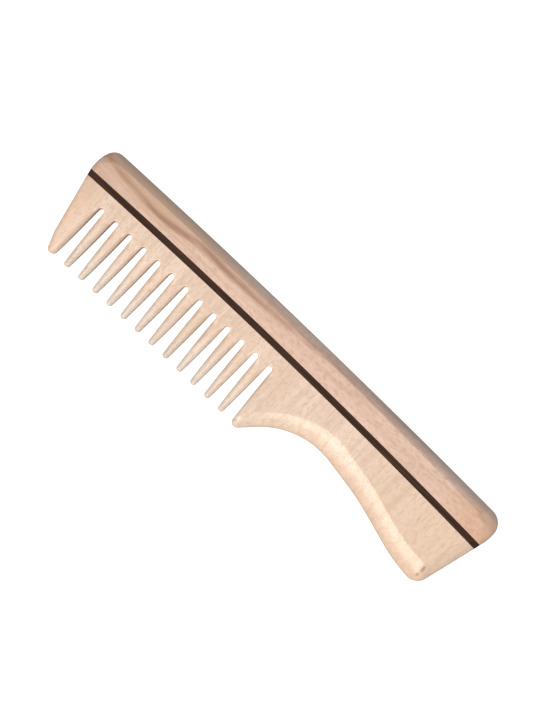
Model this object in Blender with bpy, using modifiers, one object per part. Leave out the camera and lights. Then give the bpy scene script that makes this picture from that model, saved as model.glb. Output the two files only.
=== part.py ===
"""Hair comb: a laminated wooden wide-tooth comb with a handle.

The comb lies flat. +X runs along it from the guard tooth to the handle, +Y points from the teeth
to the back, and +Z is the thickness. The origin is under the middle of the comb, on the face it
lies on. Three strips of wood are glued edge to edge: the spine, a thin dark inlay, and the plate
that carries the teeth and the handle. Every strip is cut from the same moulded body by its own
band, the way the real comb is sawn and moulded from one glued board.
"""
import math

import bmesh
import bpy
from mathutils import Vector

MM = 0.001

# ---- driving dimensions, in millimetres and degrees ----
THICKNESS = 10.0
EDGE_BREAK = 0.6            # small round on every sawn edge
EDGE_BREAK_STEPS = 2
EDGE_ANGLE = 60.0           # edges that turn more than this are broken

GLUE_RADIUS = 2530.0        # the glue lines are parallel arcs that drop towards both ends
INLAY_MIDDLE = 9.24         # y of the inlay's centre line at x = 0
INLAY_WIDTH = 2.3
GLUE_GAP = 0.3

BACK_RADIUS = 3440.0        # the back is a flatter arc
BACK_TOP = (13.7, 20.73)
BACK_STATIONS = 12
BACK_ROLL = 3.5             # elliptic round on the back and the butt end

SLOT_COUNT = 13
SLOT_PITCH = 6.375
SLOT_LEAN = 2.2
FIRST_SLOT = -77.18         # x of the first slot's centre line at SLOT_MIDDLE
SLOT_MIDDLE = -9.0
SLOT_TOP_HALF = 1.05        # half width at the round top, opening to the tips as a parabola
SLOT_TOP_ROUND = 1.03       # radius of the round top, which leaves a short flat
SLOT_OPENING = 0.026
SLOT_CURVE = 0.0011
SLOT_STATIONS = 4
ROOT_DROP = 5.1             # slot tops below the inlay's lower edge
TIP_DROP = 27.5             # tooth tips below the inlay's lower edge
TIP_ROUND = 0.9
NOSE_START = -17.75         # below this y the teeth have bullet noses
GUARD_ROUND = 1.7

TAPER_START = 0.6           # the teeth thin evenly from this y down to their tips
TAPER_LOSS = 0.36           # part of the thickness that is lost at the tips
TIP_NOSE = 1.6              # length of the bullet nose of a tooth, seen from the side
NOSE_LOSS = 0.7             # roundness of that nose: 0 is square, 1 is a point

HANDLE_ROLL = 6.8           # elliptic round along the finger scoop and the handle
ROLL_CREASE = 24.0          # angle at which a roll meets the face
ROLL_STEPS = 7
ROLL_REACH = 8.0            # how far a roll's cutter reaches outside the comb
ROLL_CLEAR = 0.02           # how far a full roll stands in from the sawn edge
RUN_OUT = 12.0              # how far it runs on past the end of its edge
BEAK_RUN_OUT = 3.0          # the same at the beak, where it must miss the last tooth

# corners as (x, y, fillet radius), anticlockwise
BEAK = (1.9, -22.35, 1.9)
HANDLE_EDGE = (
    (19.88, -3.83, 29.0),   # finger scoop
    (49.58, -8.47, 83.0),   # fall towards the butt
    (72.78, -15.14, 57.0),  # flare of the butt
)
BUTT = (83.8, -15.9, 5.0)
BUTT_SHOULDER = (90.8, 11.7, 16.0)
BUTT_BACK = (90.7, 19.87, 5.6)
HEAD_BACK = (-88.75, 19.17, 4.6)
HEAD_SHOULDER = (-90.7, 11.2, 15.0)
GUARD_WAIST = (-88.85, 4.6, 25.0)
GUARD_SIDE = (-84.25, -14.6, 12.0)
GUARD_FOOT = (-81.8, -20.9, GUARD_ROUND)

CHORD = 0.03                # how far a straight run may lie inside its arc
ARC_STEP = 30.0             # largest turn between two points of an arc
BAND_REACH = 100.0          # half length of the bands that part the strips, past both ends
BAND_STATIONS = 16
WELD = 0.01                 # points closer than this are one
CAP_NORMAL = 0.999          # faces whose normal is this upright are a flat cap

# ---- woods: colour and roughness ----
SPINE_WOOD = (0.76, 0.52, 0.39), 0.55
INLAY_WOOD = (0.07, 0.03, 0.018), 0.5
PLATE_WOOD = (0.81, 0.60, 0.46), 0.55


# ---- outlines ----

def glue_line(x, offset):
    """Height of the inlay's centre line at x, moved up by offset."""
    return INLAY_MIDDLE + offset - x * x / (2.0 * GLUE_RADIUS)


def back_line(x):
    """Height of the back at x."""
    return BACK_TOP[1] - (x - BACK_TOP[0]) ** 2 / (2.0 * BACK_RADIUS)


def fillet(before, corner, after):
    """Points of the arc that rounds a corner, or the corner itself where its radius is 0."""
    x, y, radius = corner
    if radius == 0.0:
        return [(x, y)]
    point = Vector((x, y))
    back = (Vector(before[:2]) - point).normalized()
    ahead = (Vector(after[:2]) - point).normalized()
    turn = math.pi - back.angle(ahead)
    run = radius * math.tan(turn / 2.0)
    start = point + back * run
    centre = point + (back + ahead).normalized() * math.hypot(radius, run)
    arm = start - centre
    sign = 1.0 if back.x * ahead.y - back.y * ahead.x < 0.0 else -1.0
    step = min(2.0 * math.acos(1.0 - CHORD / radius), math.radians(ARC_STEP))
    count = max(2, math.ceil(turn / step))
    points = []
    for index in range(count + 1):
        angle = sign * turn * index / count
        cosine, sine = math.cos(angle), math.sin(angle)
        points.append((centre.x + arm.x * cosine - arm.y * sine,
                       centre.y + arm.x * sine + arm.y * cosine))
    return points


def rounded(corners, closed=True):
    """Outline through a list of (x, y, radius) corners, each rounded by its own arc."""
    points = []
    count = len(corners)
    for index, corner in enumerate(corners):
        if not closed and index in (0, count - 1):
            points.append(corner[:2])
            continue
        points += fillet(corners[index - 1], corner, corners[(index + 1) % count])
    return points


def slot_point(slot, down, side):
    """Point of a slot's own frame: down along its centre line, side towards the handle."""
    lean = math.radians(SLOT_LEAN)
    x = FIRST_SLOT + SLOT_PITCH * slot + down * math.sin(lean) + side * math.cos(lean)
    y = SLOT_MIDDLE - down * math.cos(lean) + side * math.sin(lean)
    return x, y


def slot_half_width(depth):
    """Half width of a slot at a depth under the centre of its round top."""
    return SLOT_TOP_HALF + SLOT_OPENING * depth + SLOT_CURVE * depth * depth


def slot_wall(slot, side):
    """Corners of one wall of a slot, from its top to the tooth's tip."""
    centre_x = FIRST_SLOT + SLOT_PITCH * slot
    half_inlay = INLAY_WIDTH / 2.0
    top = SLOT_MIDDLE - glue_line(centre_x, -half_inlay - ROOT_DROP)
    tip = SLOT_MIDDLE - glue_line(centre_x, -half_inlay - TIP_DROP)
    x, y = slot_point(slot, top, side * SLOT_TOP_HALF)
    corners = [(x, y, SLOT_TOP_ROUND)]
    start = top + SLOT_TOP_HALF
    for index in range(1, SLOT_STATIONS + 1):
        down = start + (tip - start) * index / SLOT_STATIONS
        x, y = slot_point(slot, down, side * slot_half_width(down - start))
        corners.append((x, y, TIP_ROUND if index == SLOT_STATIONS else 0.0))
    return corners


def tooth_corners():
    """Corners of all slots, from the guard tooth to the beak."""
    corners = []
    for slot in range(SLOT_COUNT):
        left = slot_wall(slot, -1.0)
        right = slot_wall(slot, 1.0)
        if slot == 0:
            left[-1] = left[-1][:2] + (GUARD_ROUND,)
        if slot == SLOT_COUNT - 1:
            right.pop()
        corners += left[::-1] + right
    return corners


def back_corners():
    """Points of the back between its two end corners, from the butt to the head."""
    corners = []
    for index in range(1, BACK_STATIONS):
        x = BUTT_BACK[0] + (HEAD_BACK[0] - BUTT_BACK[0]) * index / BACK_STATIONS
        corners.append((x, back_line(x), 0.0))
    return corners


def comb_corners():
    """All corners of the comb's outline, anticlockwise from the beak."""
    return [BEAK, *HANDLE_EDGE, BUTT, BUTT_SHOULDER, BUTT_BACK, *back_corners(),
            HEAD_BACK, HEAD_SHOULDER, GUARD_WAIST, GUARD_SIDE, GUARD_FOOT, *tooth_corners()]


def extended(corner, towards, length):
    """Corner moved straight away from the one named towards, as the plain end of a path."""
    point = Vector(corner[:2])
    away = (point - Vector(towards[:2])).normalized() * length
    return point.x + away.x, point.y + away.y, 0.0


# ---- modelling helpers ----

def add_to(collection, obj):
    collection.objects.link(obj)
    return obj


def curve_from(name, points, closed):
    """Flat polyline curve in millimetres, scaled to metres."""
    curve = bpy.data.curves.new(name, "CURVE")
    curve.dimensions = "2D"
    spline = curve.splines.new("POLY")
    spline.points.add(len(points) - 1)
    for point, (x, y) in zip(spline.points, points):
        point.co = (x * MM, y * MM, 0.0, 1.0)
    spline.use_cyclic_u = closed
    return bpy.data.objects.new(name, curve)


def mesh_from(curve_object, collection):
    """Closed mesh object made from a curve object, which is removed."""
    add_to(collection, curve_object)
    bpy.context.view_layer.update()
    graph = bpy.context.evaluated_depsgraph_get()
    mesh = bpy.data.meshes.new_from_object(curve_object.evaluated_get(graph))
    name = curve_object.name
    bpy.data.objects.remove(curve_object)
    work = bmesh.new()
    work.from_mesh(mesh)
    bmesh.ops.remove_doubles(work, verts=work.verts, dist=WELD * MM)
    bmesh.ops.recalc_face_normals(work, faces=work.faces)
    for side in (1.0, -1.0):
        cap = [face for face in work.faces if face.normal.z * side > CAP_NORMAL]
        bmesh.ops.dissolve_faces(work, faces=cap)
    work.to_mesh(mesh)
    work.free()
    return add_to(collection, bpy.data.objects.new(name, mesh))


def plate_from(name, points, thickness, collection):
    """Flat outline extruded to a plate, centred on z = 0."""
    obj = curve_from(name, points, closed=True)
    obj.data.fill_mode = "BOTH"
    obj.data.extrude = thickness * MM / 2.0
    return mesh_from(obj, collection)


def roll_profile(width):
    """Section of the stock that a roll takes away: all round an elliptic nose of this width."""
    crease = math.radians(90.0 - ROLL_CREASE)
    long_axis = width / (1.0 - math.cos(crease))
    short_axis = THICKNESS / 2.0 / math.sin(crease)
    nose = []
    for index in range(-ROLL_STEPS, ROLL_STEPS + 1):
        angle = crease * index / ROLL_STEPS
        inward = long_axis * (1.0 - math.cos(angle)) + ROLL_CLEAR
        nose.append((inward, short_axis * math.sin(angle)))
    return [(-ROLL_REACH, ROLL_REACH), (-ROLL_REACH, -ROLL_REACH), (width, -ROLL_REACH),
            *nose, (width, ROLL_REACH)]


def roll_cutter(name, path, width, collection):
    """Cutter that rounds an edge: the roll's section swept along the edge's path."""
    section = add_to(collection, curve_from(name + "_section", roll_profile(width), closed=True))
    obj = curve_from(name, path, closed=False)
    obj.data.bevel_mode = "OBJECT"
    obj.data.bevel_object = section
    obj.data.use_fill_caps = True
    cutter = mesh_from(obj, collection)
    bpy.data.objects.remove(section)
    return cutter


def hide_cutter(obj):
    obj.hide_render = True
    obj.display_type = "WIRE"


def cut(obj, cutter, operation):
    modifier = obj.modifiers.new(cutter.name, "BOOLEAN")
    modifier.operation = operation
    modifier.solver = "EXACT"
    modifier.object = cutter


def wood(name, colour, roughness):
    material = bpy.data.materials.new(name)
    material.use_nodes = True
    shader = material.node_tree.nodes["Principled BSDF"]
    shader.inputs["Base Color"].default_value = (*colour, 1.0)
    shader.inputs["Roughness"].default_value = roughness
    shader.inputs["Metallic"].default_value = 0.0
    return material


# ---- the comb ----

def thinned(x, y):
    """Part of the thickness that is left at a point of the teeth."""
    tip = glue_line(x, -INLAY_WIDTH / 2.0 - TIP_DROP)
    fall = (TAPER_START - y) / (TAPER_START - glue_line(0.0, -INLAY_WIDTH / 2.0 - TIP_DROP))
    nose = max(0.0, min(1.0, (y - tip) / TIP_NOSE))
    return (1.0 - TAPER_LOSS * fall) * math.sqrt(1.0 - NOSE_LOSS * (1.0 - nose) ** 2)


def sawn_blank(collection):
    """The whole comb sawn to its outline, its edges broken and its teeth thinned."""
    blank = plate_from("sawn_blank", rounded(comb_corners()), THICKNESS, collection)
    bevel = blank.modifiers.new("edge_break", "BEVEL")
    bevel.width = EDGE_BREAK * MM
    bevel.segments = EDGE_BREAK_STEPS
    bevel.limit_method = "ANGLE"
    bevel.angle_limit = math.radians(EDGE_ANGLE)
    bevel.use_clamp_overlap = False
    bpy.context.view_layer.update()
    graph = bpy.context.evaluated_depsgraph_get()
    mesh = bpy.data.meshes.new_from_object(blank.evaluated_get(graph))
    bpy.data.objects.remove(blank)
    last_slot = slot_point(SLOT_COUNT - 1, 0.0, 0.0)[0]
    work = bmesh.new()
    work.from_mesh(mesh)
    for y in (TAPER_START, NOSE_START):
        bmesh.ops.bisect_plane(work, geom=work.verts[:] + work.edges[:] + work.faces[:],
                               plane_co=(0.0, y * MM, 0.0), plane_no=(0.0, 1.0, 0.0))
    for vert in work.verts:
        x, y = vert.co.x / MM, vert.co.y / MM
        if y < TAPER_START and x < last_slot:
            vert.co.z *= thinned(x, y)
    work.to_mesh(mesh)
    work.free()
    return mesh


def band(name, low, high, collection):
    """Strip of board between two glue lines, wider than the comb; a limit of None is open."""
    stations = [BAND_REACH * (1.0 - 2.0 * index / BAND_STATIONS)
                for index in range(BAND_STATIONS + 1)]
    bottom = [(x, -BAND_REACH if low is None else glue_line(x, low)) for x in stations[::-1]]
    top = [(x, BAND_REACH if high is None else glue_line(x, high)) for x in stations]
    return plate_from(name, bottom + top, THICKNESS * 2.0, collection)


def build():
    for obj in list(bpy.data.objects):
        bpy.data.objects.remove(obj)
    comb = bpy.data.collections.new("hair_comb")
    cutters = bpy.data.collections.new("cutters")
    bpy.context.scene.collection.children.link(comb)
    bpy.context.scene.collection.children.link(cutters)

    blank = sawn_blank(cutters)

    head_x = HEAD_BACK[0]
    back_path = rounded([(head_x - RUN_OUT, back_line(head_x - RUN_OUT), 0.0),
                         (head_x, back_line(head_x), 0.0), *back_corners()[::-1],
                         BUTT_BACK, BUTT_SHOULDER, extended(BUTT, BUTT_SHOULDER, RUN_OUT)],
                        closed=False)
    back_roll = roll_cutter("back_roll", back_path, BACK_ROLL, cutters)
    handle_path = rounded([extended(BEAK, HANDLE_EDGE[0], BEAK_RUN_OUT), *HANDLE_EDGE,
                           extended(BUTT, HANDLE_EDGE[-1], RUN_OUT)], closed=False)
    handle_roll = roll_cutter("handle_roll", handle_path[::-1], HANDLE_ROLL, cutters)

    edge = INLAY_WIDTH / 2.0
    gap = GLUE_GAP / 2.0
    strips = (
        ("spine_strip", edge + gap, None, SPINE_WOOD),
        ("dark_inlay_strip", -edge + gap, edge - gap, INLAY_WOOD),
        ("tooth_and_handle_plate", None, -edge - gap, PLATE_WOOD),
    )
    for name, low, high, (colour, roughness) in strips:
        strip = add_to(comb, bpy.data.objects.new(name, blank.copy()))
        strip.data.name = name
        strip.data.materials.append(wood(name, colour, roughness))
        cut(strip, back_roll, "DIFFERENCE")
        cut(strip, handle_roll, "DIFFERENCE")
        cut(strip, band(name + "_band", low, high, cutters), "INTERSECT")
    for cutter in cutters.objects:
        hide_cutter(cutter)
    for obj in [*comb.objects, *cutters.objects]:
        obj.location = (0.0, 0.0, THICKNESS * MM / 2.0)


build()
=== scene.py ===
"""Looks of a laminated wooden hair comb: beech spine, dark inlay, beech plate with teeth and handle.

The three pieces are cut from one finely meshed body. Its plan is the comb's outline, and at every
point of the plan the half thickness is that of the board less the deepest of the edge rolls that
reach the point. Lengths are in millimetres until a mesh is made, and in the CAD frame.
"""

import math

import bpy
import numpy as np
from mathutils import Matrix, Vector
from mathutils.geometry import delaunay_2d_cdt


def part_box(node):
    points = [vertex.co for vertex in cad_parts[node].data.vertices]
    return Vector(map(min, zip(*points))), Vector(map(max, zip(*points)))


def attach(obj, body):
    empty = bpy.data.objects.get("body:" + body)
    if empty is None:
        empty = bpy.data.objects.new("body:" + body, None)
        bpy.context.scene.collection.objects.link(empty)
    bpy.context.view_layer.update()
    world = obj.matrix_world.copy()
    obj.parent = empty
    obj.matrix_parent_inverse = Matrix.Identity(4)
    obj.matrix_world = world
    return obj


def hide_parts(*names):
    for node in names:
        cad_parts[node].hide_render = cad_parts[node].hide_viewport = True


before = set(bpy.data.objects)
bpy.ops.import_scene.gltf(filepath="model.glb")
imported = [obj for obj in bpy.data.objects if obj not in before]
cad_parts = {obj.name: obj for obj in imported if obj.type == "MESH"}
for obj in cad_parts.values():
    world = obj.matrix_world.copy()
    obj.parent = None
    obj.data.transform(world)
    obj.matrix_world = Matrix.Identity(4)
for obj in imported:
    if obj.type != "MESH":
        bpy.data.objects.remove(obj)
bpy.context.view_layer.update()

MM = 0.001

# ---- the board ----
LOW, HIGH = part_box("spine_strip")
THICKNESS = (HIGH.z - LOW.z) / MM
HALF = THICKNESS / 2.0

GLUE_RADIUS = 2530.0
INLAY_MIDDLE = 9.24
INLAY_WIDTH = 2.3
BACK_RADIUS = 3440.0
BACK_TOP = (13.7, 20.73)
BACK_STATIONS = 40

# ---- the teeth ----
SLOT_COUNT = 13
SLOT_PITCH = 6.375
SLOT_LEAN = math.radians(2.2)
FIRST_SLOT = -77.18
SLOT_MIDDLE = -9.0
SLOT_TOP_HALF = 1.05                    # half width at the top, opening to the tips as a parabola
SLOT_TOP_ROUND = SLOT_TOP_HALF * 0.98
SLOT_OPENING = 0.026
SLOT_CURVE = 0.0011
SLOT_STATIONS = 10
ROOT_DROP = 5.1                         # slot tops below the inlay's lower edge
TIP_DROP = 27.5                         # tooth tips below the inlay's lower edge
TIP_ROUND = 0.95
GUARD_ROUND = 1.7
TAPER_START = 0.6                       # the teeth thin from this y down to their tips
TAPER_LOSS = 0.36                       # part of the thickness that is lost at the tips
TAPER_POWER = 1.15

# ---- the handle: corners as (x, y, fillet radius), anticlockwise ----
BEAK = (1.9, -22.35, 1.9)
HANDLE_EDGE = (
    (19.88, -3.83, 29.0),
    (49.58, -8.47, 83.0),
    (72.78, -15.14, 57.0),
)
BUTT = (83.8, -15.9, 5.0)
BUTT_SHOULDER = (90.8, 11.7, 16.0)
BUTT_BACK = (90.7, 19.87, 5.6)
HEAD_BACK = (-88.75, 19.17, 4.6)
HEAD_SHOULDER = (-90.7, 11.2, 15.0)
GUARD_WAIST = (-88.85, 4.6, 25.0)
GUARD_SIDE = (-84.25, -14.6, 12.0)
GUARD_FOOT = (-81.8, -20.9, GUARD_ROUND)

# ---- edge rolls: width over the face and depth down the edge ----
ROLL_TURN = math.radians(66.0)          # turn of a roll's arc, from the edge to the face
BACK_TURN = math.radians(48.0)          # the same along the back, where the crease is sharper
BACK_TURN_HEIGHTS = (13.0, 17.0)        # the turn changes between these heights
SLOT_TOP_ROLL = (0.45, 0.5)
SLOT_ROLL = (1.2, 1.6)
TIP_ROLL = (1.3, 1.7)
GUARD_ROLL = (1.3, 1.5)
GUARD_TIP_ROLL = (1.7, 1.8)
HEAD_CORNER_ROLL = (3.6, HALF * 0.95)
HEAD_ROLL = (2.0, 3.2)
BACK_ROLL_STATIONS = (30.0, 50.0, 84.0)
BACK_ROLL_WIDTHS = (3.1, 3.5, 3.8)
BUTT_ROLL = (5.2, HALF)
HANDLE_ROLL_STATIONS = (2.5, 9.0, 23.0, 32.0, 62.0, 78.0, 84.0)
HANDLE_ROLL_WIDTHS = (2.4, 4.6, 6.3, 7.2, 6.4, 7.4, 6.6)
BEAK_ROLL_DEPTH = HALF * 0.5
HANDLE_ROLL_TOP = -3.0                  # the handle's widths hold below this y,
HANDLE_ROLL_END = BUTT[0] - 2.0         # and up to this x
EDGE_LEFT = 0.05                        # half height of the flat left on a full roll
WIDEST_ROLL = 11.0
FAR = 9.0                               # reach of a point that no roll comes near

# ---- mesh ----
EDGE_STEP = 0.35                        # along the outline
ARC_SHARE = 0.14                        # the same on a small fillet, as a part of its radius
FLAT_STEP = 1.6                         # over the flats
SEAM_STEP = 0.8                         # along the glue lines
SEAM_REACH = 92.0                       # half length of the glue lines, past both ends
SEAM_CLEAR = 0.1                        # other points keep this far from a glue line
RINGS = 9                               # lines of points across each roll
CREASE_SHARES = (0.95, 1.0, 1.06, 1.3)  # lines of points about a roll's crease, by its width
RING_SLACK = 0.015
FLAT_REACH = 1.35                       # the grid of the flats starts at this reach
RIDGE_COUNT = 44                        # points down the middle of each tooth
CELL = 0.11                             # no two points share a cell of this size
SHARP_ANGLE = math.radians(40.0)


# ================= outline =================

def glue_line(x, offset):
    """Height of the inlay's centre line at x, moved up by offset."""
    return INLAY_MIDDLE + offset - x * x / (2.0 * GLUE_RADIUS)


def back_line(x):
    return BACK_TOP[1] - (x - BACK_TOP[0]) ** 2 / (2.0 * BACK_RADIUS)


def fillet(before, corner, after):
    """Points of the arc that rounds a corner, or the corner itself where its radius is 0."""
    x, y, radius = corner
    if radius == 0.0:
        return [(x, y)]
    point = Vector((x, y))
    back = (Vector(before[:2]) - point).normalized()
    ahead = (Vector(after[:2]) - point).normalized()
    turn = math.pi - back.angle(ahead)
    run = radius * math.tan(turn / 2.0)
    start = point + back * run
    centre = point + (back + ahead).normalized() * math.hypot(radius, run)
    arm = start - centre
    sign = 1.0 if back.x * ahead.y - back.y * ahead.x < 0.0 else -1.0
    step = min(EDGE_STEP, radius * ARC_SHARE)
    count = max(2, math.ceil(turn * radius / step))
    points = []
    for index in range(count + 1):
        angle = sign * turn * index / count
        cosine, sine = math.cos(angle), math.sin(angle)
        points.append((centre.x + arm.x * cosine - arm.y * sine,
                       centre.y + arm.x * sine + arm.y * cosine))
    return points


def slot_point(slot, down, side):
    """Point of a slot's own frame: down along its centre line, side towards the handle."""
    x = FIRST_SLOT + SLOT_PITCH * slot + down * math.sin(SLOT_LEAN) + side * math.cos(SLOT_LEAN)
    y = SLOT_MIDDLE - down * math.cos(SLOT_LEAN) + side * math.sin(SLOT_LEAN)
    return x, y


def slot_half_width(depth):
    return SLOT_TOP_HALF + SLOT_OPENING * depth + SLOT_CURVE * depth * depth


def slot_reach(slot):
    """How far a slot's top and its teeth's tips lie down its centre line."""
    centre_x = FIRST_SLOT + SLOT_PITCH * slot
    lower_edge = glue_line(centre_x, -INLAY_WIDTH / 2.0)
    return SLOT_MIDDLE - lower_edge + ROOT_DROP, SLOT_MIDDLE - lower_edge + TIP_DROP


def slot_wall(slot, side):
    """Corners of one wall of a slot, from its top to the tooth's tip, with their rolls."""
    top, tip = slot_reach(slot)
    x, y = slot_point(slot, top, side * SLOT_TOP_HALF)
    corners = [(x, y, SLOT_TOP_ROUND, *SLOT_TOP_ROLL)]
    start = top + SLOT_TOP_HALF
    for index in range(1, SLOT_STATIONS + 1):
        down = start + (tip - start) * index / SLOT_STATIONS
        x, y = slot_point(slot, down, side * slot_half_width(down - start))
        at_tip = index == SLOT_STATIONS
        corners.append((x, y, TIP_ROUND if at_tip else 0.0, *(TIP_ROLL if at_tip else SLOT_ROLL)))
    return corners


def tooth_corners():
    corners = []
    for slot in range(SLOT_COUNT):
        left = slot_wall(slot, -1.0)
        right = slot_wall(slot, 1.0)
        if slot == 0:
            left[-1] = (*left[-1][:2], GUARD_ROUND, *GUARD_TIP_ROLL)
        if slot == SLOT_COUNT - 1:
            right.pop()
        corners += left[::-1] + right
    return corners


def comb_corners():
    """Corners (x, y, fillet radius, roll width, roll depth) of the outline, anticlockwise.

    The handle's widths are 0 here, and outline() fills them in.
    """
    corners = [(*BEAK, HANDLE_ROLL_WIDTHS[0], BEAK_ROLL_DEPTH)]
    corners += [(*corner, 0.0, HALF) for corner in HANDLE_EDGE]
    corners += [(*corner, *BUTT_ROLL) for corner in (BUTT, BUTT_SHOULDER, BUTT_BACK)]
    for index in range(1, BACK_STATIONS):
        x = BUTT_BACK[0] + (HEAD_BACK[0] - BUTT_BACK[0]) * index / BACK_STATIONS
        width = float(np.interp(x, BACK_ROLL_STATIONS, BACK_ROLL_WIDTHS))
        corners.append((x, back_line(x), 0.0, width, HALF))
    corners.append((*HEAD_BACK, *HEAD_CORNER_ROLL))
    corners.append((*HEAD_SHOULDER, *HEAD_ROLL))
    corners += [(*corner, *GUARD_ROLL) for corner in (GUARD_WAIST, GUARD_SIDE)]
    corners.append((*GUARD_FOOT, *GUARD_TIP_ROLL))
    return corners + tooth_corners()


def outline():
    """Closed outline as rows (x, y, roll width, depth and turn), no two far apart."""
    corners = comb_corners()
    count = len(corners)
    rows = []
    for index, corner in enumerate(corners):
        before, after = corners[index - 1], corners[(index + 1) % count]
        rows += [(x, y, *corner[3:]) for x, y in fillet(before[:3], corner[:3], after[:3])]
    dense = []
    for row, following in zip(rows, rows[1:] + rows[:1]):
        pieces = math.ceil(math.dist(row[:2], following[:2]) / EDGE_STEP)
        for piece in range(max(1, pieces)):
            part = piece / max(1, pieces)
            dense.append([a + (b - a) * part for a, b in zip(row, following)])
    table = np.array(dense)
    handle = table[:, 1] < HANDLE_ROLL_TOP
    handle &= (table[:, 0] > HANDLE_ROLL_STATIONS[0]) & (table[:, 0] < HANDLE_ROLL_END)
    table[handle, 2] = np.interp(table[handle, 0], HANDLE_ROLL_STATIONS, HANDLE_ROLL_WIDTHS)
    turn = np.interp(table[:, 1], BACK_TURN_HEIGHTS, (ROLL_TURN, BACK_TURN))
    return np.column_stack([table, turn])


# ================= height of the body =================

def roll_shape(reach, turn):
    """Part of a roll's depth that is left at a reach of 0 at the edge to 1 at the crease."""
    lift = 1.0 - np.clip(reach, 0.0, 1.0) * (1.0 - np.cos(turn))
    return np.sqrt(np.maximum(0.0, 1.0 - lift * lift)) / np.sin(turn)


def batches(values, size):
    """Indices of the values in rising order, in batches."""
    order = np.argsort(values, kind="stable")
    return [order[first:first + size] for first in range(0, len(order), size)]


def edge_fall(points, edge):
    """How far the rolls take the face down at each point, and the least reach there."""
    following = np.roll(edge, -1, axis=0)
    fall = np.zeros(len(points))
    reach = np.full(len(points), FAR)
    for batch in batches(points[:, 0], 400):
        some = points[batch]
        low, high = some[0, 0] - WIDEST_ROLL, some[-1, 0] + WIDEST_ROLL
        near = (edge[:, 0] > low) & (edge[:, 0] < high)
        if not near.any():
            continue
        start, end = edge[near], following[near]
        run = end[:, :2] - start[:, :2]
        length2 = np.maximum((run * run).sum(1), 1e-12)
        offset = some[:, None, :] - start[None, :, :2]
        part = np.clip((offset * run).sum(2) / length2, 0.0, 1.0)
        gap = np.sqrt(((offset - part[..., None] * run) ** 2).sum(2))
        width = start[:, 2] + part * (end[:, 2] - start[:, 2])
        depth = start[:, 3] + part * (end[:, 3] - start[:, 3])
        share = gap / width
        fall[batch] = (depth * (1.0 - roll_shape(share, start[:, 4]))).max(1)
        reach[batch] = share.min(1)
    return fall, reach


def board_half(points):
    """Half thickness of the board before its edges are rolled: even, but thinner in the teeth."""
    x, y = points[:, 0], points[:, 1]
    tip = glue_line(x, -INLAY_WIDTH / 2.0 - TIP_DROP)
    down = np.clip((TAPER_START - y) / (TAPER_START - tip), 0.0, 1.0)
    last_slot = slot_point(SLOT_COUNT - 1, 0.0, 0.0)[0]
    taper = np.where(x < last_slot, 1.0 - TAPER_LOSS * down ** TAPER_POWER, 1.0)
    return HALF * taper


def body_half(points, edge):
    fall, _ = edge_fall(points, edge)
    return np.maximum(board_half(points) - fall, EDGE_LEFT)


# ================= mesh of the body =================

def inside(points, edge):
    """Which points lie inside the outline."""
    following = np.roll(edge, -1, axis=0)
    lowest = np.minimum(edge[:, 1], following[:, 1])
    highest = np.maximum(edge[:, 1], following[:, 1])
    found = np.zeros(len(points), bool)
    for batch in batches(points[:, 1], 500):
        x, y = points[batch, 0:1], points[batch, 1:2]
        near = (lowest <= y.max()) & (highest >= y.min())
        x0, y0 = edge[near, 0], edge[near, 1]
        x1, y1 = following[near, 0], following[near, 1]
        crosses = (y0 > y) != (y1 > y)
        rise = np.where(y1 == y0, 1.0, y1 - y0)
        left = x < x0 + (y - y0) * (x1 - x0) / rise
        found[batch] = (crosses & left).sum(1) % 2 == 1
    return found


def ring_points(edge):
    """Points on lines of equal reach, which follow the edge across each roll."""
    ahead = np.roll(edge[:, :2], -1, axis=0) - np.roll(edge[:, :2], 1, axis=0)
    ahead /= np.linalg.norm(ahead, axis=1)[:, None]
    inward = np.stack([-ahead[:, 1], ahead[:, 0]], axis=1)
    shares = [(1.0 - math.cos(ROLL_TURN * ring / RINGS)) / (1.0 - math.cos(ROLL_TURN))
              for ring in range(1, RINGS + 1)]
    shares[-1:] = CREASE_SHARES
    kept = []
    for share in shares:
        points = edge[:, :2] + inward * (edge[:, 2:3] * share)
        good = inside(points, edge)
        points = points[good]
        _, reach = edge_fall(points, edge)
        kept.append(points[reach > share - RING_SLACK])
    return np.concatenate(kept)


def tooth_ridges():
    """Points down the middle of each tooth."""
    points = []
    for slot in range(-1, SLOT_COUNT):
        top, tip = slot_reach(max(slot, 0))
        for index in range(RIDGE_COUNT):
            down = top + (tip - TIP_ROUND - top) * index / (RIDGE_COUNT - 1)
            points.append(slot_point(slot + 0.5, down, 0.0))
    return np.array(points)


def flat_points(edge):
    """Triangular grid over the flat of the board."""
    low, high = edge[:, :2].min(0), edge[:, :2].max(0)
    points = []
    for row in range(int((high[1] - low[1]) / FLAT_STEP) + 1):
        shift = FLAT_STEP / 2.0 * (row % 2)
        for column in range(int((high[0] - low[0]) / FLAT_STEP) + 1):
            points.append((low[0] + shift + column * FLAT_STEP, low[1] + row * FLAT_STEP))
    points = np.array(points)
    points = points[inside(points, edge)]
    _, reach = edge_fall(points, edge)
    return points[reach > FLAT_REACH]


def spread(points, cell):
    """The points without those that share a small cell with an earlier one."""
    keys = np.floor(points / cell).astype(int)
    _, first = np.unique(keys, axis=0, return_index=True)
    return points[np.sort(first)]


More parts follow.
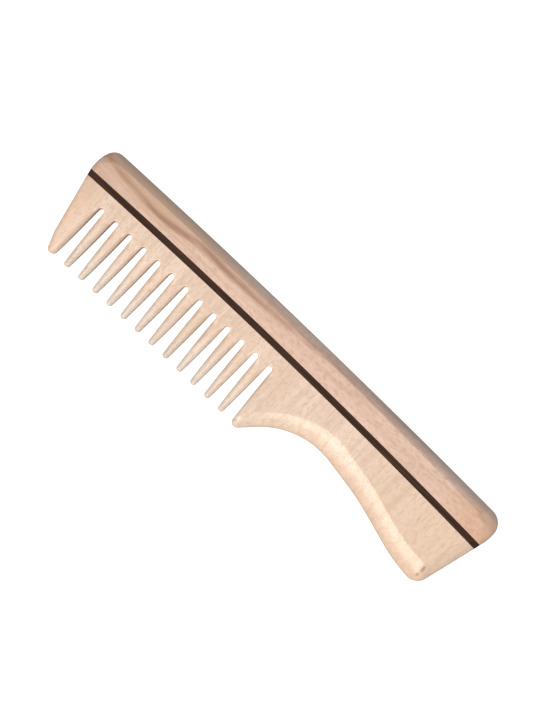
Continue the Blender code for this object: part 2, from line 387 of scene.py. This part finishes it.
def plan_mesh(edge):
    """Triangles over the outline, with edges along both glue lines."""
    extra = spread(np.concatenate([ring_points(edge), tooth_ridges(), flat_points(edge)]), CELL)
    seams = []
    for side in (-1.0, 1.0):
        xs = np.arange(-SEAM_REACH, SEAM_REACH + 0.01, SEAM_STEP)
        seams.append(np.stack([xs, glue_line(xs, side * INLAY_WIDTH / 2.0)], axis=1))
    clear = np.ones(len(extra), bool)
    for side in (-1.0, 1.0):
        clear &= np.abs(extra[:, 1] - glue_line(extra[:, 0], side * INLAY_WIDTH / 2.0)) > SEAM_CLEAR
    extra = extra[clear]
    points = [Vector(point) for point in edge[:, :2]]
    count = len(points)
    links = [(index, (index + 1) % count) for index in range(count)]
    for seam in seams:
        base = len(points)
        points += [Vector(point) for point in seam]
        links += [(base + index, base + index + 1) for index in range(len(seam) - 1)]
    points += [Vector(point) for point in extra]
    made = delaunay_2d_cdt(points, links, [], 0, 1e-6)
    plan = np.array([tuple(point) for point in made[0]])
    triangles = np.array([face for face in made[2]])
    centres = plan[triangles].mean(1)
    triangles = triangles[inside(centres, edge)]
    return plan, triangles


def piece_mesh(name, plan, half, triangles):
    """Closed mesh of some of the plan's triangles: top face, bottom face and walls."""
    used = np.unique(triangles)
    number = np.full(len(plan), -1)
    number[used] = np.arange(len(used))
    top = number[triangles]
    count = len(used)
    sides = {}
    for a, b, c in top:
        for side in ((a, b), (b, c), (c, a)):
            if (side[1], side[0]) in sides:
                del sides[(side[1], side[0])]
            else:
                sides[side] = True
    faces = [tuple(face) for face in top]
    faces += [(c + count, b + count, a + count) for a, b, c in top]
    faces += [(a, a + count, b + count, b) for a, b in sides]
    flat = plan[used]
    height = half[used]
    above = np.column_stack([flat, HALF + height])
    below = np.column_stack([flat, HALF - height])
    points = np.concatenate([above, below]) * MM
    mesh = bpy.data.meshes.new(name)
    mesh.from_pydata(points.tolist(), [], faces)
    mesh.update()
    mesh.shade_smooth()
    mesh.set_sharp_from_angle(angle=SHARP_ANGLE)
    obj = bpy.data.objects.new(name, mesh)
    bpy.context.scene.collection.objects.link(obj)
    return obj


def build_pieces():
    """The three strips as objects, keyed by the CAD node that each stands for."""
    edge = outline()
    plan, triangles = plan_mesh(edge)
    half = body_half(plan, edge)
    a, b, c = (plan[triangles[:, corner]] for corner in range(3))
    turned = (b - a)[:, 0] * (c - a)[:, 1] - (b - a)[:, 1] * (c - a)[:, 0] < 0.0
    triangles[turned] = triangles[turned][:, ::-1]
    centres = plan[triangles].mean(1)
    above = centres[:, 1] > glue_line(centres[:, 0], INLAY_WIDTH / 2.0)
    below = centres[:, 1] < glue_line(centres[:, 0], -INLAY_WIDTH / 2.0)
    choices = {
        "spine_strip": above,
        "dark_inlay_strip": ~above & ~below,
        "tooth_and_handle_plate": below,
    }
    return {node: piece_mesh(node + "_wood", plan, half, triangles[choice])
            for node, choice in choices.items()}


# ================= materials =================

class Wood:
    """Node tree of one wood, with short calls for the nodes that it needs."""

    def __init__(self, name):
        self.material = bpy.data.materials.new(name)
        self.material.use_nodes = True
        self.tree = self.material.node_tree
        self.shader = self.tree.nodes["Principled BSDF"]
        place = self.tree.nodes.new("ShaderNodeTexCoord")
        self.place = self.scaled(place.outputs["Object"], (1.0 / MM, 1.0 / MM, 1.0 / MM))
        self.normal = place.outputs["Normal"]

    def link(self, source, socket):
        if isinstance(source, bpy.types.NodeSocket):
            self.tree.links.new(source, socket)
        else:
            socket.default_value = source

    def scaled(self, vector, scale, shift=(0.0, 0.0, 0.0)):
        mapping = self.tree.nodes.new("ShaderNodeMapping")
        mapping.inputs["Scale"].default_value = scale
        mapping.inputs["Location"].default_value = shift
        self.link(vector, mapping.inputs["Vector"])
        return mapping.outputs["Vector"]

    def math(self, operation, a, b=0.0, clamp=False):
        node = self.tree.nodes.new("ShaderNodeMath")
        node.operation = operation
        node.use_clamp = clamp
        self.link(a, node.inputs[0])
        self.link(b, node.inputs[1])
        return node.outputs[0]

    def noise(self, vector, detail=3.0, roughness=0.5, distortion=0.0):
        node = self.tree.nodes.new("ShaderNodeTexNoise")
        node.inputs["Scale"].default_value = 1.0
        node.inputs["Detail"].default_value = detail
        node.inputs["Roughness"].default_value = roughness
        node.inputs["Distortion"].default_value = distortion
        self.link(vector, node.inputs["Vector"])
        return node.outputs["Fac"]

    def cells(self, vector):
        """Distance to the nearest cell's centre, and that cell's random colour."""
        node = self.tree.nodes.new("ShaderNodeTexVoronoi")
        node.inputs["Scale"].default_value = 1.0
        self.link(vector, node.inputs["Vector"])
        return node.outputs["Distance"], node.outputs["Color"]

    def range(self, value, low, high, to_low=0.0, to_high=1.0, smooth=True):
        node = self.tree.nodes.new("ShaderNodeMapRange")
        node.interpolation_type = "SMOOTHSTEP" if smooth else "LINEAR"
        for socket, number in zip(node.inputs[1:5], (low, high, to_low, to_high)):
            socket.default_value = number
        self.link(value, node.inputs["Value"])
        return node.outputs["Result"]

    def mix(self, factor, a, b, blend="MIX"):
        node = self.tree.nodes.new("ShaderNodeMix")
        node.data_type = "RGBA"
        node.blend_type = blend
        self.link(factor, node.inputs["Factor"])
        for source, socket in ((a, node.inputs[6]), (b, node.inputs[7])):
            self.link(source if isinstance(source, bpy.types.NodeSocket) else (*source, 1.0), socket)
        return node.outputs[2]

    def curve(self, value, points):
        """Smooth curve through a few points, all within 0 to 1."""
        node = self.tree.nodes.new("ShaderNodeFloatCurve")
        self.link(value, node.inputs["Value"])
        line = node.mapping.curves[0]
        line.points[0].location = points[0]
        line.points[1].location = points[-1]
        for point in points[1:-1]:
            line.points.new(*point)
        node.mapping.update()
        return node.outputs["Value"]

    def axes(self, vector):
        node = self.tree.nodes.new("ShaderNodeSeparateXYZ")
        self.link(vector, node.inputs[0])
        return node.outputs

    def bump(self, height, depth_mm, strength):
        node = self.tree.nodes.new("ShaderNodeBump")
        node.inputs["Strength"].default_value = strength
        node.inputs["Distance"].default_value = depth_mm * MM
        self.link(height, node.inputs["Height"])
        self.link(node.outputs["Normal"], self.shader.inputs["Normal"])


ALONG_X, ALONG_Y = 0, 1     # axis of a grain


def along(grain, long_scale, cross_scale):
    """Scale of a texture drawn out along the grain."""
    scale = [cross_scale] * 3
    scale[grain] = long_scale
    return tuple(scale)


RING_WANDER = 5.0           # how far the growth lines stray, in spacings


class Beech(Wood):
    """Beech: growth lines, mottle, fibres, ray flecks and fine pores drawn out along the grain."""

    def __init__(self, name, grain, seed, pale, deep, ring, fleck):
        super().__init__(name)
        self.grain = grain
        self.shift = (seed * 13.7, seed * 7.3, seed * 3.1)
        self.ring = ring
        self.fleck = fleck
        self.colour = self.mix(self.range(self.drawn(0.012, 0.16, 2.0), 0.35, 0.65), pale, deep)

    def drawn(self, long_scale, cross_scale, detail, roughness=0.5, distortion=0.0):
        """Noise drawn out along the grain."""
        place = self.scaled(self.place, along(self.grain, long_scale, cross_scale), self.shift)
        return self.noise(place, detail, roughness, distortion)

    def tint(self, factor, strength, tone):
        self.colour = self.mix(self.math("MULTIPLY", factor, strength), self.colour, tone)

    def growth(self, across, spacing, strength):
        """Soft dark lines along the grain, unevenly spaced over a coordinate across it."""
        wander = self.math("MULTIPLY", self.drawn(0.007, 0.22, 1.0), RING_WANDER)
        turns = self.math("ADD", self.math("DIVIDE", across, spacing), wander)
        lines = self.range(self.math("PINGPONG", turns, 1.0), 0.45, 1.0)
        depth = self.range(self.drawn(0.02, 0.3, 1.0), 0.35, 0.65, 0.3, 1.0)
        self.tint(self.math("MULTIPLY", lines, depth), strength, self.ring)

    def mottle(self, strength):
        """Small clouds, a little longer along the grain."""
        cloud = self.drawn(0.5, 0.9, 2.0, 0.6)
        self.tint(self.range(cloud, 0.45, 0.7), strength, self.ring)

    def fibres(self, strength):
        self.fibre = self.drawn(0.22, 4.0, 4.0, 0.65)
        self.tint(self.range(self.fibre, 0.48, 0.74), strength, self.fleck)

    def rays(self, strength):
        """Short dark spindles."""
        place = self.scaled(self.place, along(self.grain, 0.34, 1.25), self.shift)
        distance, chance = self.cells(place)
        spindle = self.range(distance, 0.06, 0.34, 1.0, 0.0)
        chosen = self.range(self.axes(chance)[0], 0.45, 0.6)
        self.tint(self.math("MULTIPLY", spindle, chosen), strength, self.fleck)

    def pores(self, strength):
        self.pore = self.range(self.drawn(0.9, 9.0, 2.0, 0.7), 0.58, 0.72)
        self.tint(self.pore, strength, self.fleck)

    def end_grain(self, strength):
        facing = self.math("ABSOLUTE", self.axes(self.normal)[self.grain])
        self.tint(self.range(facing, 0.6, 1.0), strength, self.ring)

    def finished(self):
        """Fine sanded and lightly oiled."""
        self.link(self.colour, self.shader.inputs["Base Color"])
        rough = self.range(self.fibre, 0.3, 0.7, 0.32, 0.4)
        self.link(self.math("ADD", rough, self.math("MULTIPLY", self.pore, 0.12)),
                  self.shader.inputs["Roughness"])
        self.shader.inputs["Specular IOR Level"].default_value = 0.95
        self.shader.inputs["Sheen Weight"].default_value = 0.06
        self.shader.inputs["Sheen Roughness"].default_value = 0.5
        self.bump(self.math("SUBTRACT", self.fibre, self.pore), 0.03, 0.2)
        return self.material


# Each beech as pale and deep ground, growth lines and flecks.
PLATE_WOOD = ((0.80, 0.605, 0.465), (0.735, 0.53, 0.39), (0.60, 0.40, 0.265), (0.46, 0.27, 0.165))
SPINE_WOOD = ((0.76, 0.53, 0.405), (0.69, 0.46, 0.335), (0.50, 0.29, 0.18), (0.42, 0.235, 0.14))
INLAY_WOOD = ((0.030, 0.0115, 0.005), (0.062, 0.026, 0.012))
INLAY_PORE = (0.012, 0.005, 0.003)

# Tones laid over the plate.
GUARD_TONE = (0.675, 0.455, 0.312)
HANDLE_TONE = (0.75, 0.54, 0.382)
TIP_TONE = (0.75, 0.68, 0.585)

# Tones laid over the spine.
SPINE_BUTT_TONE = (0.68, 0.405, 0.245)
ABOVE_STREAK_TONE = (0.495, 0.31, 0.22)
BELOW_STREAK_TONE = (0.60, 0.36, 0.22)
SPINE_HEAD_TONE = (0.52, 0.32, 0.21)
# Painted shade: darkens the back roll, where the back's shade falls, and is not a colour of the wood.
PAINTED_BACK_SHADE_TONE = (0.50, 0.35, 0.28)
STREAK_TONE = (0.335, 0.165, 0.095)

# Dark flecks near the butt, as (x, y, half width, half height) in mm.
BUTT_FLECKS = ((81.6, -10.2, 0.8, 1.8), (81.5, -12.6, 0.65, 1.0))

# Dark growth line in the spine, as (x, y) in mm, and the box that its curve node spans.
STREAK_PATH = (
    (-91.0, 16.4), (-76.6, 14.35), (-66.3, 13.5), (-54.8, 14.1), (-43.4, 15.7), (-33.4, 15.7),
    (-19.6, 16.0), (-9.9, 16.2), (-3.5, 17.0), (11.0, 17.9), (40.0, 19.6),
)
STREAK_X = (-95.0, 95.0)
STREAK_Y = (10.0, 22.0)


def plate_material():
    wood = Beech("beech_across", ALONG_Y, 1.0, *PLATE_WOOD)
    x, y, _ = wood.axes(wood.place)
    wood.tint(wood.range(x, -86.0, -76.0, 1.0, 0.0), 0.85, GUARD_TONE)
    wood.tint(wood.range(x, 36.0, 74.0), 0.8, HANDLE_TONE)
    narrow_teeth = wood.math("MULTIPLY", wood.range(x, -79.0, -77.0), wood.range(x, -1.0, 6.0, 1.0, 0.0))
    tips = wood.math("MULTIPLY", wood.range(y, -19.0, -2.0, 1.0, 0.0), narrow_teeth)
    wood.tint(tips, 0.7, TIP_TONE)
    wood.growth(x, 2.4, 0.45)
    wood.mottle(0.5)
    wood.fibres(0.5)
    wood.rays(0.35)
    wood.pores(0.2)
    for fleck_x, fleck_y, half_width, half_height in BUTT_FLECKS:
        across = wood.math("DIVIDE", wood.math("SUBTRACT", x, fleck_x), half_width)
        down = wood.math("DIVIDE", wood.math("SUBTRACT", y, fleck_y), half_height)
        reach = wood.math("ADD", wood.math("POWER", wood.math("ABSOLUTE", across), 2.0),
                          wood.math("POWER", wood.math("ABSOLUTE", down), 2.0))
        wood.tint(wood.range(reach, 0.1, 1.0, 1.0, 0.0), 1.0, wood.fleck)
    wood.end_grain(0.35)
    return wood.finished()


def spine_material():
    wood = Beech("beech_along", ALONG_X, 2.0, *SPINE_WOOD)
    x, y, _ = wood.axes(wood.place)
    path = wood.curve(wood.range(x, *STREAK_X, smooth=False),
                      [((px - STREAK_X[0]) / (STREAK_X[1] - STREAK_X[0]),
                        (py - STREAK_Y[0]) / (STREAK_Y[1] - STREAK_Y[0])) for px, py in STREAK_PATH])
    streak_y = wood.range(path, 0.0, 1.0, *STREAK_Y, smooth=False)
    above = wood.math("SUBTRACT", y, streak_y)
    wavering = wood.math("ADD", above, wood.math("MULTIPLY", wood.drawn(0.06, 0.4, 2.0), 1.2))
    wavering = wood.math("SUBTRACT", wavering, 0.6)
    wood.tint(wood.range(x, 66.0, 84.0), 0.85, SPINE_BUTT_TONE)
    wood.growth(above, 1.9, 0.4)
    wood.mottle(0.5)
    browner = wood.math("MULTIPLY", wood.range(wavering, -0.6, 0.6),
                        wood.range(x, -70.0, 5.0, 1.0, 0.0))
    wood.tint(browner, 0.95, ABOVE_STREAK_TONE)
    warmer = wood.math("MULTIPLY", wood.range(wavering, -4.0, -0.5),
                       wood.range(x, -60.0, -25.0, 1.0, 0.0))
    wood.tint(warmer, 0.6, BELOW_STREAK_TONE)
    wood.tint(wood.range(x, -90.0, -58.0, 1.0, 0.0), 0.6, SPINE_HEAD_TONE)
    # Painted shade over the back roll, from x 20 towards the butt and above y 17, deepening the back's
    # shade.
    shadow = wood.math("MULTIPLY", wood.range(x, 20.0, 50.0), wood.range(y, 17.0, 18.8))
    wood.tint(shadow, 0.6, PAINTED_BACK_SHADE_TONE)
    line = wood.range(wood.math("ABSOLUTE", wavering), 0.2, 1.8, 1.0, 0.0)
    patchy = wood.range(wood.drawn(0.07, 0.5, 2.0), 0.3, 0.6, 0.45, 1.0)
    fading = wood.math("MULTIPLY", patchy, wood.range(x, -40.0, 40.0, 1.0, 0.3))
    wood.tint(wood.math("MULTIPLY", line, fading), 1.0, STREAK_TONE)
    wood.fibres(0.55)
    wood.rays(0.3)
    wood.pores(0.2)
    wood.end_grain(0.35)
    return wood.finished()


def inlay_material():
    wood = Wood("dark_wood")
    streak = wood.noise(wood.scaled(wood.place, (0.05, 1.6, 1.6)), 4.0, 0.6, 0.4)
    colour = wood.mix(wood.range(streak, 0.35, 0.7), *INLAY_WOOD)
    pore = wood.noise(wood.scaled(wood.place, (0.5, 9.0, 9.0)), 2.0, 0.7)
    pores = wood.range(pore, 0.58, 0.7)
    colour = wood.mix(wood.math("MULTIPLY", pores, 0.6), colour, INLAY_PORE)
    wood.link(colour, wood.shader.inputs["Base Color"])
    wood.link(wood.range(streak, 0.3, 0.7, 0.5, 0.62), wood.shader.inputs["Roughness"])
    wood.shader.inputs["Specular IOR Level"].default_value = 0.15
    wood.bump(wood.math("SUBTRACT", streak, pores), 0.05, 0.3)
    return wood.material


# ================= room =================

VIEW_TURN = math.radians(44.085)
VIEW_DISTANCE = 1.2             # in metres
VIEW_LENS = 180.78
VIEW_HEIGHT = THICKNESS * 0.75  # the level that the distance is measured from, in mm
VIEW_OFFSET = (0.93, 5.29)      # comb's middle to the picture's middle, right and up, in mm
# Two broad suns from the teeth's side: name, elevation, turn towards the handle, energy.
KEYS = (("key", math.radians(54.0), math.radians(-26.0), 1.15),
        ("second_key", math.radians(54.0), math.radians(24.0), 1.0))
KEY_COLOUR = (1.12, 0.985, 0.87)
KEY_ANGLE = math.radians(34.0)
SKY_COLOUR = (0.88, 1.0, 1.11, 1.0)
SKY_STRENGTH = 0.61
FLOOR_HALF = 3.0                # in metres
FLOOR_DROP = 0.1                # below the comb, in mm, so that the two faces don't meet
FLOOR_GREY = 0.4


def add_camera():
    camera = bpy.data.objects.new("camera", bpy.data.cameras.new("camera"))
    right = Vector((math.cos(VIEW_TURN), math.sin(VIEW_TURN), 0.0))
    up = Vector((-math.sin(VIEW_TURN), math.cos(VIEW_TURN), 0.0))
    middle = right * (VIEW_OFFSET[0] * MM) + up * (VIEW_OFFSET[1] * MM)
    camera.location = middle + Vector((0.0, 0.0, VIEW_DISTANCE + VIEW_HEIGHT * MM))
    camera.rotation_euler = (0.0, 0.0, VIEW_TURN)
    camera.data.lens = VIEW_LENS
    camera.data.sensor_width = 36.0
    camera.data.clip_start = 0.01
    bpy.context.scene.collection.objects.link(camera)
    bpy.context.scene.camera = camera


def add_light():
    for name, elevation, side, energy in KEYS:
        sun = bpy.data.lights.new(name, "SUN")
        sun.energy = energy
        sun.angle = KEY_ANGLE
        sun.color = KEY_COLOUR
        key = bpy.data.objects.new(name, sun)
        towards = Vector((math.sin(side) * math.cos(elevation),
                          -math.cos(side) * math.cos(elevation),
                          math.sin(elevation)))
        key.rotation_euler = towards.to_track_quat("Z", "Y").to_euler()
        bpy.context.scene.collection.objects.link(key)
    world = bpy.data.worlds.new("studio")
    world.use_nodes = True
    sky = world.node_tree.nodes["Background"]
    sky.inputs["Color"].default_value = SKY_COLOUR
    sky.inputs["Strength"].default_value = SKY_STRENGTH
    bpy.context.scene.world = world


def add_floor():
    """Pale paper, bright enough in the picture to show no shadow."""
    mesh = bpy.data.meshes.new("floor")
    low = -FLOOR_DROP * MM
    corners = [(x * FLOOR_HALF, y * FLOOR_HALF, low) for x, y in ((-1, -1), (1, -1), (1, 1), (-1, 1))]
    mesh.from_pydata(corners, [], [(0, 1, 2, 3)])
    floor = bpy.data.objects.new("floor", mesh)
    paper = bpy.data.materials.new("paper")
    paper.use_nodes = True
    nodes = paper.node_tree.nodes
    shader = nodes["Principled BSDF"]
    shader.inputs["Base Color"].default_value = (FLOOR_GREY, FLOOR_GREY, FLOOR_GREY, 1.0)
    shader.inputs["Roughness"].default_value = 0.9
    shader.inputs["Specular IOR Level"].default_value = 0.1
    shader.inputs["Emission Color"].default_value = (1.0, 1.0, 1.0, 1.0)
    path = nodes.new("ShaderNodeLightPath")
    paper.node_tree.links.new(path.outputs["Is Camera Ray"], shader.inputs["Emission Strength"])
    mesh.materials.append(paper)
    bpy.context.scene.collection.objects.link(floor)


# ================= scene =================

materials = {
    "spine_strip": (spine_material(), "beech_spine"),
    "dark_inlay_strip": (inlay_material(), "dark_inlay"),
    "tooth_and_handle_plate": (plate_material(), "beech_plate"),
}
for node, piece in build_pieces().items():
    material, slot = materials[node]
    piece.data.materials.append(material)
    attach(piece, "root")
    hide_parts(node)

add_floor()
add_light()
add_camera()
bpy.context.scene.view_settings.view_transform = "Standard"
